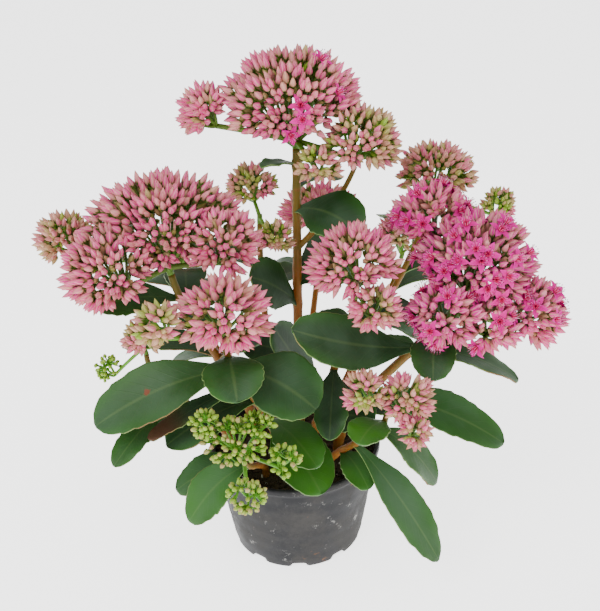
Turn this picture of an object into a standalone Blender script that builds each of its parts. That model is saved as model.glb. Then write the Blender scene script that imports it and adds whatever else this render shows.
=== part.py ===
"""A showy stonecrop in a squat black nursery pot: pot, soil, leafy shoots and domed flower heads.

Metres, +Z up, the viewer in front at -Y. The origin is the middle of the pot's underside.
The plan tables below are in millimetres, and every shoot, leaf and umbel is built from them.
"""

import math
from collections import namedtuple

import bmesh
import bpy
from mathutils import Matrix, Vector

MM = 0.001

# Pot: a blown 12 cm nursery pot with a rolled rim and drain notches round its foot
POT_RIM_RADIUS = 60.0
POT_FOOT_RADIUS = 47.0
POT_HEIGHT = 78.0
POT_WALL = 1.4
POT_FLOOR = 2.0
RIM_ROLL = 1.6
RIM_DEPTH = 5.0
POT_SIDES = 36
DRAIN_NOTCHES = 10
NOTCH_WIDTH = 12.0
NOTCH_HEIGHT = 4.5
NOTCH_REACH = 7.0

# Soil: a plug that fills the pot to a finger's breadth below the rim
SOIL_TOP = 71.0
SOIL_CROWN = 3.0
SOIL_SIDES = 24
CLEARANCE = 0.35
HOLE_DEPTH = 18.0

# Shoots
STEM_SIDES = 5
STEM_STEPS = 6
STEM_BASE_RADIUS = 3.6
STEM_TOP_RADIUS = 2.4
HEAD_GAP = 0.5
FORK_RISE = 7.0

# Leaves
LEAF_STATIONS = 4
LEAF_MID_THICKNESS = 1.9
LEAF_EDGE_THICKNESS = 0.8
LEAF_TOOTH = 0.035
LEAF_CUP = 0.07
LEAF_WIDEST = 0.58

# Flower heads: the buds stand on their domes by the sunflower rule, a little larger than life
GOLDEN_ANGLE = math.pi * (3 - math.sqrt(5))
BUD_PITCH = 14.4
FURROW_JOIN = 0.35
BUD_DEPTH = 9.5
UNDERSIDE_SITES = 6
BRANCH_RADIUS = 1.6
BRANCH_SIDES = 4
FORK_STEPS = 4

Shoot = namedtuple("Shoot", "root top bow radius")
Fork = namedtuple("Fork", "shoot height end radius")
Leaf = namedtuple("Leaf", "shoot height tip width sag face")
Umbel = namedtuple("Umbel", "hub radii lean spread size")

# Where each stem leaves the soil, where it ends under its head, which way it bows out, and its girth
SHOOTS = {
    "top": Shoot((4, 8), (8, 26, 280), (0, 4), 1.05),
    "left": Shoot((-24, -4), (-72, -16, 216), (-8, -2), 1.0),
    "right": Shoot((30, -12), (98, -34, 190), (-12, -12), 1.05),
    "inner_right": Shoot((12, -20), (40, -38, 206), (4, -2), 0.85),
    "front_left": Shoot((-10, -20), (-38, -66, 194), (-2, -12), 0.85),
    "back_right": Shoot((32, 16), (98, 50, 232), (10, 6), 0.8),
    "back_left": Shoot((-14, 20), (-18, 40, 224), (-4, 4), 0.8),
    "low_front": Shoot((-20, -34), (-30, -78, 120), (-4, -14), 0.7),
    "low_right": Shoot((22, -34), (56, -76, 147), (8, -14), 0.75),
    "far_left": Shoot((-38, -18), (-88, -44, 176), (-16, -8), 0.7),
    "rear": Shoot((8, 38), (24, 92, 186), (2, 14), 0.8),
    "rear_left": Shoot((-32, 26), (-78, 68, 176), (-12, 8), 0.8),
    "rear_right": Shoot((32, 34), (84, 96, 168), (10, 12), 0.75),
}

# Side branches of a stem: the height where each parts from it, where it ends, and its radius
FORKS = [
    Fork("top", 214, (44, 14, 271), 1.9),
]

# Each leaf: its stem and the height where it leaves it, its tip, its width, its arch, and how far
# its face is turned to the front in degrees
LEAVES = [
    Leaf("top", 240, (44, -14, 238), 36, 6, 40),
    Leaf("top", 254, (34, 66, 244), 26, 6, 0),
    Leaf("top", 270, (-14, 8, 275), 14, 2, 0),
    Leaf("top", 270, (30, 42, 274), 14, 2, 0),
    Leaf("top", 200, (46, 54, 206), 28, 6, 0),
    Leaf("top", 176, (-24, -8, 208), 34, 3, 75),
    Leaf("top", 150, (44, 18, 158), 30, 6, 0),
    Leaf("top", 190, (44, 6, 212), 30, 3, 65),
    Leaf("top", 132, (-34, 4, 150), 30, 6, 30),
    Leaf("left", 198, (-118, -27, 200), 24, 4, 30),
    Leaf("left", 188, (-70, 36, 194), 28, 8, 0),
    Leaf("left", 192, (-50, -42, 190), 24, 3, 0),
    Leaf("left", 152, (-112, 8, 152), 30, 8, 0),
    Leaf("left", 150, (-20, -20, 166), 28, 4, 0),
    Leaf("right", 164, (144, -36, 142), 28, 8, 0),
    Leaf("right", 168, (2, -72, 205), 34, -4, 55),
    Leaf("right", 180, (84, -70, 166), 27, 5, 0),
    Leaf("right", 126, (140, -30, 88), 30, 9, 30),
    Leaf("right", 176, (134, 20, 176), 28, 6, 0),
    Leaf("right", 108, (86, -22, 110), 28, 6, 0),
    Leaf("inner_right", 118, (-10, -46, 193), 31, 3, 85),
    Leaf("inner_right", 172, (76, -16, 190), 22, 4, 0),
    Leaf("inner_right", 104, (52, -46, 122), 28, 5, 30),
    Leaf("inner_right", 152, (22, -76, 130), 22, 5, 0),
    Leaf("inner_right", 136, (42, -52, 142), 24, 4, 0),
    Leaf("front_left", 184, (-30, -99, 175), 35, 6, 0),
    Leaf("front_left", 174, (-116, -80, 149), 36, 7, 35),
    Leaf("front_left", 174, (14, -84, 158), 42, 6, 30),
    Leaf("front_left", 116, (14, -82, 114), 27, 6, 20),
    Leaf("front_left", 108, (16, -78, 90), 39, 6, 0),
    Leaf("front_left", 140, (-78, -68, 124), 30, 5, 20),
    Leaf("front_left", 158, (-86, -80, 138), 13, 3, 20),
    Leaf("back_left", 190, (-70, 44, 206), 28, 7, 0),
    Leaf("back_left", 176, (22, 66, 172), 30, 8, 0),
    Leaf("back_right", 208, (72, 88, 206), 28, 8, 0),
    Leaf("back_right", 184, (138, 74, 170), 30, 9, 0),
    Leaf("back_right", 124, (88, 22, 132), 30, 6, 0),
    Leaf("low_front", 110, (-66, -86, 79), 30, 7, 20),
    Leaf("low_front", 100, (-76, -62, 84), 26, 7, 20),
    Leaf("low_right", 112, (91, -80, 34), 27, 6, 25),
    Leaf("low_right", 134, (88, -75, 94), 25, 7, 20),
    Leaf("low_right", 142, (38, -100, 144), 25, 4, 0),
    Leaf("low_right", 98, (46, -70, 86), 22, 5, 0),
    Leaf("far_left", 148, (-89, -62, 128), 22, 5, 20),
    Leaf("far_left", 138, (-108, -84, 122), 18, 5, 30),
    Leaf("far_left", 134, (-112, -6, 124), 26, 8, 0),
    Leaf("rear", 172, (36, 150, 166), 30, 9, 0),
    Leaf("rear", 156, (-22, 124, 150), 30, 9, 0),
    Leaf("rear_left", 162, (-118, 98, 154), 30, 9, 0),
    Leaf("rear_left", 146, (-50, 112, 146), 28, 8, 0),
    Leaf("rear_left", 120, (-98, 64, 96), 28, 8, 0),
    Leaf("rear_right", 146, (134, 122, 140), 28, 9, 0),
    Leaf("rear_right", 128, (104, 64, 110), 30, 9, 0),
    Leaf("rear_right", 108, (78, 108, 76), 28, 8, 0),
]

# Each head is one or more umbels: hub, dome radii, lean of its axis (x, y), spread in degrees, bud size
HEADS = {
    "top": [
        Umbel((6, 28, 302), (51, 42, 44), (0, -0.05), 98, 1.0),
        Umbel((-46, 28, 304), (21, 20, 22), (-0.6, 0), 105, 1.0),
        Umbel((47, 10, 287), (28, 25, 28), (0.4, -0.3), 108, 0.95),
        Umbel((21, -4, 278), (17, 13, 17), (-0.1, -0.7), 110, 0.85),
    ],
    "left": [
        Umbel((-74, -10, 240), (56, 42, 43), (-0.05, -0.1), 98, 1.0),
        Umbel((-104, -34, 226), (34, 32, 34), (-0.4, -0.35), 104, 1.0),
        Umbel((-38, -28, 238), (26, 26, 30), (0.3, -0.3), 102, 1.0),
        Umbel((-137, -4, 236), (21, 20, 22), (-0.5, 0), 108, 0.9),
    ],
    "right": [
        Umbel((113, -28, 218), (42, 38, 42), (0.2, -0.2), 100, 1.05),
        Umbel((90, -6, 242), (30, 26, 28), (-0.1, 0), 102, 1.05),
        Umbel((92, -54, 200), (27, 24, 27), (-0.2, -0.6), 106, 1.05),
        Umbel((143, -40, 192), (29, 26, 30), (0.6, -0.4), 104, 1.05),
        Umbel((119, -54, 192), (22, 20, 24), (0.1, -0.7), 104, 1.05),
    ],
    "inner_right": [
        Umbel((39, -46, 230), (31, 28, 31), (-0.2, -0.2), 104, 0.95),
        Umbel((50, -64, 212), (19, 17, 24), (0.1, -0.6), 108, 0.95),
    ],
    "front_left": [
        Umbel((-36, -72, 214), (31, 28, 30), (0.1, -0.45), 108, 1.1),
        Umbel((-70, -84, 216), (18, 15, 20), (-0.4, -0.2), 105, 1.05),
    ],
    "back_right": [
        Umbel((100, 50, 250), (31, 26, 26), (0.1, -0.1), 102, 0.9),
        Umbel((143, 50, 226), (14, 13, 17), (0.3, -0.2), 106, 0.8),
    ],
    "back_left": [
        Umbel((-22, 48, 246), (20, 18, 20), (-0.1, 0), 105, 0.85),
        Umbel((-7, 8, 226), (14, 12, 19), (0.1, -0.4), 110, 0.85),
    ],
    "low_front": [
        Umbel((-34, -86, 138), (22, 17, 20), (0, -0.4), 108, 0.9),
        Umbel((-50, -88, 152), (12, 11, 13), (-0.4, -0.1), 105, 0.9),
        Umbel((-20, -86, 148), (12, 11, 13), (0.3, -0.2), 105, 0.9),
        Umbel((-6, -93, 128), (12, 12, 14), (0.5, -0.3), 105, 0.9),
        Umbel((-28, -103, 112), (14, 12, 14), (0, -0.9), 108, 0.9),
    ],
    "low_right": [
        Umbel((66, -86, 164), (20, 18, 20), (0.3, -0.4), 106, 0.85),
        Umbel((43, -88, 170), (16, 15, 19), (-0.4, -0.3), 106, 0.85),
        Umbel((70, -96, 148), (13, 12, 15), (0.2, -0.8), 104, 0.85),
    ],
    "far_left": [
        Umbel((-88, -48, 188), (15, 14, 16), (-0.2, -0.3), 104, 0.85),
        Umbel((-113, -38, 162), (10, 10, 12), (-0.6, -0.1), 106, 0.75),
    ],
    "rear": [Umbel((24, 96, 204), (34, 32, 30), (0, 0.2), 100, 1.15)],
    "rear_left": [Umbel((-80, 72, 192), (28, 26, 26), (-0.2, 0.2), 100, 1.15)],
    "rear_right": [Umbel((86, 98, 184), (26, 26, 24), (0.2, 0.2), 100, 1.15)],
}


def material(name, colour, roughness):
    """A plain shader holding one piece's colour and gloss."""
    made = bpy.data.materials.new(name)
    made.use_nodes = True
    shader = made.node_tree.nodes["Principled BSDF"]
    shader.inputs["Base Color"].default_value = (*colour, 1.0)
    shader.inputs["Roughness"].default_value = roughness
    shader.inputs["Metallic"].default_value = 0.0
    return made


def object_from(name, mesh, finish, collection=None):
    """A named object for a mesh, with one material."""
    made = bpy.data.objects.new(name, mesh)
    if finish:
        mesh.materials.append(finish)
    (collection or bpy.context.scene.collection).objects.link(made)
    return made


def mesh_from(name, points, faces):
    """A mesh from points in millimetres."""
    mesh = bpy.data.meshes.new(name)
    mesh.from_pydata([Vector(p) * MM for p in points], [], faces)
    mesh.validate()
    return mesh


def smooth(obj, degrees=35):
    """Round pieces shade smooth, and corners stay crisp."""
    obj.data.shade_smooth()
    obj.data.set_sharp_from_angle(angle=math.radians(degrees))


def unite(name, meshes, finish):
    """One body from overlapping closed meshes, by a single union on a collection."""
    parts = bpy.data.collections.new(name + "_parts")
    bpy.context.scene.collection.children.link(parts)
    body = object_from(name, meshes[0], finish)
    for index, mesh in enumerate(meshes[1:]):
        object_from(f"{name}_{index}", mesh, finish, parts)
    union = body.modifiers.new("union", "BOOLEAN")
    union.operation = "UNION"
    union.solver = "MANIFOLD"
    union.operand_type = "COLLECTION"
    union.collection = parts
    bpy.context.view_layer.update()
    graph = bpy.context.evaluated_depsgraph_get()
    joined = bpy.data.meshes.new_from_object(body.evaluated_get(graph))
    body.modifiers.clear()
    body.data = joined
    keep_largest_shell(joined)
    for helper in list(parts.objects):
        bpy.data.objects.remove(helper)
    bpy.data.collections.remove(parts)
    return body


def keep_largest_shell(mesh):
    """Drops loose scraps and fills sealed hollows, by keeping only the largest shell."""
    shape = bmesh.new()
    shape.from_mesh(mesh)
    waiting = set(shape.verts)
    shells = []
    while waiting:
        front = [waiting.pop()]
        shell = list(front)
        while front:
            for edge in front.pop().link_edges:
                for vertex in edge.verts:
                    if vertex in waiting:
                        waiting.remove(vertex)
                        front.append(vertex)
                        shell.append(vertex)
        shells.append(shell)
    largest = max(shells, key=len)
    spare = [vertex for shell in shells if shell is not largest for vertex in shell]
    bmesh.ops.delete(shape, geom=spare, context="VERTS")
    shape.to_mesh(mesh)
    shape.free()


def tube(path, radii, sides):
    """A closed tapering tube along a path, as a mesh."""
    points = []
    faces = []
    across = Vector((1, 0, 0))
    for index, centre in enumerate(path):
        ahead = path[min(index + 1, len(path) - 1)] - path[max(index - 1, 0)]
        ahead.normalize()
        across = (across - ahead * across.dot(ahead)).normalized()
        beside = ahead.cross(across)
        for side in range(sides):
            turn = 2 * math.pi * side / sides
            points.append(centre + radii[index] * (math.cos(turn) * across + math.sin(turn) * beside))
    for index in range(len(path) - 1):
        for side in range(sides):
            here = index * sides + side
            along = index * sides + (side + 1) % sides
            faces.append((here, along, along + sides, here + sides))
    faces.append(tuple(range(sides))[::-1])
    last = (len(path) - 1) * sides
    faces.append(tuple(range(last, last + sides)))
    return mesh_from("tube", points, faces)


def stem_point(shoot, share):
    """A point on a stem's axis: upright at the soil, bowing outwards, then up to the head."""
    foot = Vector((*shoot.root, SOIL_TOP + SOIL_CROWN + 1))
    top = Vector(shoot.top)
    rise = top.z - foot.z
    low = foot + Vector((0, 0, rise * 0.3))
    high = foot.lerp(top, 0.72) + Vector((*shoot.bow, 0))
    rest = 1 - share
    return foot * rest**3 + low * (3 * rest**2 * share) + high * (3 * rest * share**2) + top * share**3


def stem_radius(shoot, share):
    """A stem is thickest at the soil."""
    return shoot.radius * (STEM_BASE_RADIUS + (STEM_TOP_RADIUS - STEM_BASE_RADIUS) * share)


def stem_at_height(shoot, height):
    """The point of a stem's axis at a height, by halving."""
    low, high = 0.0, 1.0
    for _ in range(24):
        middle = (low + high) / 2
        if stem_point(shoot, middle).z < height:
            low = middle
        else:
            high = middle
    return stem_point(shoot, low)


def stem_mesh(shoot):
    """The stem, with its foot standing straight in the soil."""
    foot = Vector((*shoot.root, SOIL_TOP - HOLE_DEPTH))
    path = [foot]
    radii = [stem_radius(shoot, 0)]
    for step in range(STEM_STEPS + 1):
        share = step / STEM_STEPS
        path.append(stem_point(shoot, share))
        radii.append(stem_radius(shoot, share))
    return tube(path, radii, STEM_SIDES)


def fork_mesh(fork):
    """A side branch that sweeps out of its stem and up."""
    start = stem_at_height(SHOOTS[fork.shoot], fork.height)
    end = Vector(fork.end)
    bend = Vector((*(start * 0.3 + end * 0.7).xy, (start.z + end.z) / 2))
    shares = [step / FORK_STEPS for step in range(FORK_STEPS + 1)]
    path = [start * (1 - t) ** 2 + bend * (2 * t * (1 - t)) + end * t**2 for t in shares]
    return tube(path, [fork.radius * (1.1 - 0.3 * t) for t in shares], BRANCH_SIDES + 1)


def leaf_half_width(share):
    """The outline of a leaf as a share of its half width: a wedge at the stalk and a round tip."""
    if share < LEAF_WIDEST:
        rise = share / LEAF_WIDEST
        return 0.17 + 0.83 * rise * rise * (3 - 2 * rise)
    fall = (share - LEAF_WIDEST) / (1 - LEAF_WIDEST)
    return max(math.sqrt(1 - fall**2.4), 0.2)


def leaf_edge(leaf, step):
    """Half width at an edge step, with a blunt tooth at every other one past the stalk."""
    steps = 2 * LEAF_STATIONS
    half = leaf.width / 2 * leaf_half_width(step / steps)
    if 2 < step < steps:
        half += leaf.width * LEAF_TOOTH * (1 if step % 2 else -1)
    return half


def leaf_frame(leaf, share, base):
    """Centre, sideways and upward directions of a leaf's arched midrib."""
    tip = Vector(leaf.tip)
    crest = (base + tip) / 2 + Vector((0, 0, 2 * leaf.sag))
    rest = 1 - share
    centre = base * rest**2 + crest * (2 * rest * share) + tip * share**2
    along = ((crest - base) * rest + (tip - crest) * share).normalized()
    sideways = along.cross(Vector((0, 0, 1))).normalized()
    upward = sideways.cross(along)
    roll = Matrix.Rotation(-math.radians(leaf.face) * sideways.y, 3, along)
    return centre, roll @ sideways, roll @ upward


def leaf_mesh(leaf):
    """A fleshy toothed blade, cupped along its midrib, with its stalk sunk in the stem."""
    base = stem_at_height(SHOOTS[leaf.shoot], leaf.height)
    steps = 2 * LEAF_STATIONS
    points = []
    for step in range(steps + 1):
        centre, sideways, upward = leaf_frame(leaf, step / steps, base)
        half = leaf_edge(leaf, step)
        lift = upward * (LEAF_CUP * 2 * half)
        thick = upward * (LEAF_EDGE_THICKNESS / 2)
        for side in (-1, 1):
            points.append(centre + sideways * (half * side) + lift + thick)
            points.append(centre + sideways * (half * side) + lift - thick)
    first_mid = len(points)
    for station in range(LEAF_STATIONS + 1):
        share = station / LEAF_STATIONS
        centre, sideways, upward = leaf_frame(leaf, share, base)
        thick = upward * (LEAF_MID_THICKNESS / 2 * (1 - 0.3 * share))
        points += [centre + thick, centre - thick]
    faces = []
    for station in range(LEAF_STATIONS):
        middle, ahead = first_mid + 2 * station, first_mid + 2 * station + 2
        start, tooth, end = 8 * station, 8 * station + 4, 8 * station + 8
        for under in (0, 1):
            left = [(middle, ahead, tooth), (middle, tooth, start), (ahead, end, tooth)]
            right = [(middle, tooth + 2, ahead), (middle, start + 2, tooth + 2), (ahead, tooth + 2, end + 2)]
            for corners in left + right:
                spots = tuple(corner + under for corner in corners)
                faces.append(spots[::-1] if under else spots)
    for step in range(steps):
        here, ahead = 4 * step, 4 * step + 4
        faces += [(here, ahead, ahead + 1), (here, ahead + 1, here + 1)]
        faces += [(here + 2, ahead + 3, ahead + 2), (here + 2, here + 3, ahead + 3)]
    for edge, middle, flip in ((0, first_mid, 1), (4 * steps, first_mid + 2 * LEAF_STATIONS, -1)):
        faces.append((edge, edge + 1, middle + 1, middle)[::flip])
        faces.append((middle, middle + 1, edge + 3, edge + 2)[::flip])
    return mesh_from("leaf", points, faces)


def umbel_frame(umbel):
    """The umbel's own upright axis and its two cross axes."""
    axis = Vector((*umbel.lean, 1)).normalized()
    across = Vector((1, 0, 0))
    across = (across - axis * across.dot(axis)).normalized()
    return across, axis.cross(across), axis


def dome_radius(umbel, direction):
    """How far the dome's skin is from its hub, in a direction of the umbel's own frame."""
    return 1 / math.sqrt(sum((part / radius) ** 2 for part, radius in zip(direction, umbel.radii)))


def bud_sites(umbel):
    """Evenly spread bud directions over the dome, in the umbel's own frame."""
    low = math.cos(math.radians(umbel.spread))
    mean = sum(umbel.radii) / 3
    count = max(round(2 * math.pi * mean * mean * (1 - low) / (0.87 * (BUD_PITCH * umbel.size) ** 2)), 6)
    for index in range(count):
        height = 1 - (index + 0.5) / count * (1 - low)
        ring = math.sqrt(1 - height * height)
        turn = index * GOLDEN_ANGLE
        yield Vector((ring * math.cos(turn), ring * math.sin(turn), height))


def join_furrows(hull, furrows, limit):
    """Which furrow corners are taken as one: the close pairs, each corner in one pair at most."""
    joined = list(range(len(furrows)))
    corners = {vertex: len(vertex.link_faces) for vertex in hull.verts}
    pairs = []
    for edge in hull.edges:
        one, other = (face.index for face in edge.link_faces)
        pairs.append(((furrows[one] - furrows[other]).length, one, other, edge))
    paired = set()
    for gap, one, other, edge in sorted(pairs, key=lambda pair: pair[:3]):
        if gap > limit or one in paired or other in paired or min(corners[v] for v in edge.verts) < 5:
            continue
        paired.update((one, other))
        joined[other] = one
        furrows[one] = (furrows[one] + furrows[other]) / 2
        for vertex in edge.verts:
            corners[vertex] -= 1
    return joined


def umbel_mesh(umbel):
    """A dome of pointed buds packed side by side, each rising from the furrow round it."""
    across, beside, axis = umbel_frame(umbel)
    hub = Vector(umbel.hub)
    sites = []
    for direction in bud_sites(umbel):
        reach = dome_radius(umbel, direction)
        floor = max(reach - BUD_DEPTH * umbel.size, reach * 0.5)
        sites.append((direction, reach, floor))
    below = math.radians(umbel.spread + 24)
    for index in range(UNDERSIDE_SITES):
        turn = 2 * math.pi * index / UNDERSIDE_SITES
        flat = math.sin(below)
        direction = Vector((flat * math.cos(turn), flat * math.sin(turn), math.cos(below)))
        reach = min(umbel.radii) * 0.5
        sites.append((direction, reach, reach))
    sites.append((Vector((0, 0, -1)), min(umbel.radii) * 0.35, min(umbel.radii) * 0.35))
    hull = bmesh.new()
    order = hull.verts.layers.int.new("order")
    for number, site in enumerate(sites):
        hull.verts.new(site[0])[order] = number
    bmesh.ops.convex_hull(hull, input=hull.verts)
    bmesh.ops.triangulate(hull, faces=hull.faces)
    hull.faces.index_update()
    furrows = []
    for face in hull.faces:
        direction = face.calc_center_median().normalized()
        furrows.append(direction * (sum(sites[vertex[order]][2] for vertex in face.verts) / 3))
    joined = join_furrows(hull, furrows, BUD_PITCH * umbel.size * FURROW_JOIN)
    shape = bmesh.new()
    spots = {}
    for number in sorted(set(joined)):
        p = furrows[number]
        spots[number] = shape.verts.new((hub + across * p.x + beside * p.y + axis * p.z) * MM)
    for vertex in hull.verts:
        direction, reach, _ = sites[vertex[order]]
        p = direction * reach
        tip = shape.verts.new((hub + across * p.x + beside * p.y + axis * p.z) * MM)
        first = direction.orthogonal().normalized()
        second = direction.cross(first)
        turns = {}
        for face in vertex.link_faces:
            turns[math.atan2(furrows[face.index].dot(second), furrows[face.index].dot(first))] = face.index
        ring = list(dict.fromkeys(spots[joined[turns[turn]]] for turn in sorted(turns)))
        for here, ahead in zip(ring, ring[1:] + ring[:1]):
            shape.faces.new((tip, here, ahead))
    hull.free()
    bmesh.ops.recalc_face_normals(shape, faces=shape.faces)
    mesh = bpy.data.meshes.new("umbel")
    shape.to_mesh(mesh)
    shape.free()
    return mesh


def head_foot(name):
    """Where a head begins: just above its stem's cut end, along the stem."""
    shoot = SHOOTS[name]
    top = Vector(shoot.top)
    ahead = (top - stem_point(shoot, 1 - 1 / STEM_STEPS)).normalized()
    return top + ahead * HEAD_GAP, ahead


def head(name, finish):
    """A flower head: a short stalk that forks to its umbels, each a dome packed with buds."""
    foot, ahead = head_foot(name)
    size = SHOOTS[name].radius
    fork = foot + ahead * FORK_RISE
    meshes = [tube([foot, fork + ahead], [STEM_TOP_RADIUS * size, STEM_TOP_RADIUS * size], STEM_SIDES)]
    for umbel in HEADS[name]:
        hub = Vector(umbel.hub)
        meshes.append(umbel_mesh(umbel))
        if (hub - fork).length > 4:
            radius = BRANCH_RADIUS * (0.6 + 0.4 * umbel.size)
            meshes.append(tube([fork - ahead, hub], [radius, radius * 0.8], BRANCH_SIDES))
    body = unite("head_" + name, meshes, finish)
    smooth(body, 25)
    return body


def leafy_shoot(name, finish):
    """A stem with its own leaves grown onto it."""
    meshes = [stem_mesh(SHOOTS[name])]
    meshes += [fork_mesh(fork) for fork in FORKS if fork.shoot == name]
    meshes += [leaf_mesh(leaf) for leaf in LEAVES if leaf.shoot == name]
    body = unite("shoot_" + name, meshes, finish)
    smooth(body, 40)
    return body


def turned(profile, sides):
    """A closed ring or plug turned from a profile of (radius, height) points, up the outside first."""
    shape = bmesh.new()
    columns = []
    for side in range(sides):
        turn = 2 * math.pi * side / sides
        column = []
        for radius, height in profile:
            if radius == 0 and side:
                column.append(columns[0][len(column)])
            else:
                spot = (radius * math.cos(turn) * MM, radius * math.sin(turn) * MM, height * MM)
                column.append(shape.verts.new(spot))
        columns.append(column)
    for side in range(sides):
        here, beside = columns[side], columns[(side + 1) % sides]
        for index in range(len(profile) - 1):
            ring = [here[index], beside[index], beside[index + 1], here[index + 1]]
            shape.faces.new(list(dict.fromkeys(ring)))
    bmesh.ops.recalc_face_normals(shape, faces=shape.faces)
    mesh = bpy.data.meshes.new("turned")
    shape.to_mesh(mesh)
    shape.free()
    return mesh


def pot_radius(height):
    """The outer radius of the pot's straight, tapering wall."""
    return POT_FOOT_RADIUS + (POT_RIM_RADIUS - RIM_ROLL - POT_FOOT_RADIUS) * height / POT_HEIGHT


def cutter(name, mesh):
    """A helper solid that only cuts."""
    tool = object_from(name, mesh, None)
    tool.hide_render = True
    tool.display_type = "WIRE"
    return tool


def apply_cut(body, tool):
    """Cuts a tool out of a body and clears the tool away."""
    cut = body.modifiers.new("cut", "BOOLEAN")
    cut.operation = "DIFFERENCE"
    cut.solver = "EXACT"
    cut.object = tool
    bpy.context.view_layer.update()
    graph = bpy.context.evaluated_depsgraph_get()
    done = bpy.data.meshes.new_from_object(body.evaluated_get(graph))
    body.modifiers.clear()
    body.data = done
    bpy.data.objects.remove(tool)


def box_mesh(low, high):
    """A closed box between two corners, as points and faces."""
    points = [(x, y, z) for x in (low[0], high[0]) for y in (low[1], high[1]) for z in (low[2], high[2])]
    faces = [(0, 1, 3, 2), (4, 6, 7, 5), (0, 4, 5, 1), (2, 3, 7, 6), (0, 2, 6, 4), (1, 5, 7, 3)]
    return points, faces


def pot():
    """The thin-walled pot, with a rolled rim and drain notches at the corner of its floor."""
    wall_foot = POT_FOOT_RADIUS - POT_WALL
    under_rim = POT_HEIGHT - RIM_DEPTH
    profile = [
        (0, 0),
        (POT_FOOT_RADIUS - 1, 0),
        (POT_FOOT_RADIUS, 1),
        (pot_radius(under_rim), under_rim),
        (POT_RIM_RADIUS, under_rim + 1),
        (POT_RIM_RADIUS, POT_HEIGHT - 0.6),
        (POT_RIM_RADIUS - 1.2, POT_HEIGHT),
        (pot_radius(POT_HEIGHT) - POT_WALL, POT_HEIGHT - 0.6),
        (wall_foot, POT_FLOOR + 1),
        (wall_foot - 2, POT_FLOOR),
        (0, POT_FLOOR),
    ]
    body = object_from("pot", turned(profile, POT_SIDES), material("black_plastic", (0.05, 0.05, 0.055), 0.5))
    points, faces = [], []
    for notch in range(DRAIN_NOTCHES):
        turn = Matrix.Rotation(2 * math.pi * (notch + 0.5) / DRAIN_NOTCHES, 3, "Z")
        low = (POT_FOOT_RADIUS - NOTCH_REACH, -NOTCH_WIDTH / 2, -2)
        high = (POT_FOOT_RADIUS + 4, NOTCH_WIDTH / 2, NOTCH_HEIGHT)
        box, sides = box_mesh(low, high)
        faces += [[corner + len(points) for corner in side] for side in sides]
        points += [turn @ Vector(corner) for corner in box]
    apply_cut(body, cutter("drains", mesh_from("drains", points, faces)))
    smooth(body, 30)
    return body


def soil():
    """The soil plug, gently crowned, with a plain hole where each stem stands."""
    inner = POT_WALL + CLEARANCE
    bottom = max(POT_FLOOR, NOTCH_HEIGHT) + CLEARANCE
    profile = [
        (0, bottom),
        (pot_radius(bottom) - inner - 2.2, bottom),
        (pot_radius(bottom + 2) - inner - 0.4, bottom + 2),
        (pot_radius(SOIL_TOP) - inner - 0.4, SOIL_TOP),
        (POT_RIM_RADIUS * 0.62, SOIL_TOP + SOIL_CROWN * 0.6),
        (0, SOIL_TOP + SOIL_CROWN),
    ]
    body = object_from("soil", turned(profile, SOIL_SIDES), material("potting_soil", (0.045, 0.03, 0.02), 0.95))
    for name, shoot in SHOOTS.items():
        low = Vector((*shoot.root, SOIL_TOP - HOLE_DEPTH - CLEARANCE))
        high = Vector((*shoot.root, SOIL_TOP + 12))
        width = (stem_radius(shoot, 0) + CLEARANCE) / math.cos(math.pi / 6)
        apply_cut(body, cutter("hole_" + name, tube([low, high], [width, width], 6)))
    smooth(body, 30)
    return body


def clear_scene():
    """Starts from an empty scene."""
    for old in list(bpy.data.objects):
        bpy.data.objects.remove(old)


def main():
    clear_scene()
    pot()
    soil()
    green = material("leaf_green", (0.06, 0.16, 0.07), 0.45)
    pink = material("bud_pink", (0.62, 0.22, 0.30), 0.5)
    for name in SHOOTS:
        leafy_shoot(name, green)
        head(name, pink)


main()
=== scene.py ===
"""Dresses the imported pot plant: a showy stonecrop with fleshy toothed leaves and domed pink flower heads.

The plan tables are in millimetres and match the part's own, so each finer piece keeps its solid's form.
"""

import math
from collections import namedtuple

import bpy
import numpy as np
from bpy.props import FloatProperty, FloatVectorProperty, IntProperty, PointerProperty
from mathutils import Matrix, Vector


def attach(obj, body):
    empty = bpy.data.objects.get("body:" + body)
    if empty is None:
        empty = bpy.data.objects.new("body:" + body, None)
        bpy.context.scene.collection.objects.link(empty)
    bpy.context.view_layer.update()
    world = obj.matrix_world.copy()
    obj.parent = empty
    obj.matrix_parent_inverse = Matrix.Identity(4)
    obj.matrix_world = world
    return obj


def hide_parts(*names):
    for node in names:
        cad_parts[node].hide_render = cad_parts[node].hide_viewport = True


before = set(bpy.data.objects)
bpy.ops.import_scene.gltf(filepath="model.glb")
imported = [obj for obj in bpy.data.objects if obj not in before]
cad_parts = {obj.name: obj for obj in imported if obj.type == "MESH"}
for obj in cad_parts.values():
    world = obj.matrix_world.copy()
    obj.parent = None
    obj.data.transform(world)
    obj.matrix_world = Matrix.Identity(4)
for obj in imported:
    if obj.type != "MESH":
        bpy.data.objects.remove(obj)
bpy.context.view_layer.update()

bl_info = {
    "name": "Potted Stonecrop",
    "version": (1, 0, 0),
    "blender": (4, 5, 0),
    "location": "3D View > Sidebar > Stonecrop",
    "description": "Builds a potted stonecrop in bud over its packed frame",
    "category": "Add Mesh",
}

MM = 0.001
TURN = 2 * math.pi
GOLDEN_ANGLE = math.pi * (3 - math.sqrt(5))
VALUE_NAMES = ("along", "across", "chance", "tone")

# The camera that a fit to the pot's rim and foot gives
CAMERA_PLACE = (0.007, -0.518, 0.458)
CAMERA_PITCH = 28.0
CAMERA_ROLL = -2.0
CAMERA_FOCAL = 900.0
IMAGE_HEIGHT = 611
SENSOR = 36.0

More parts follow.
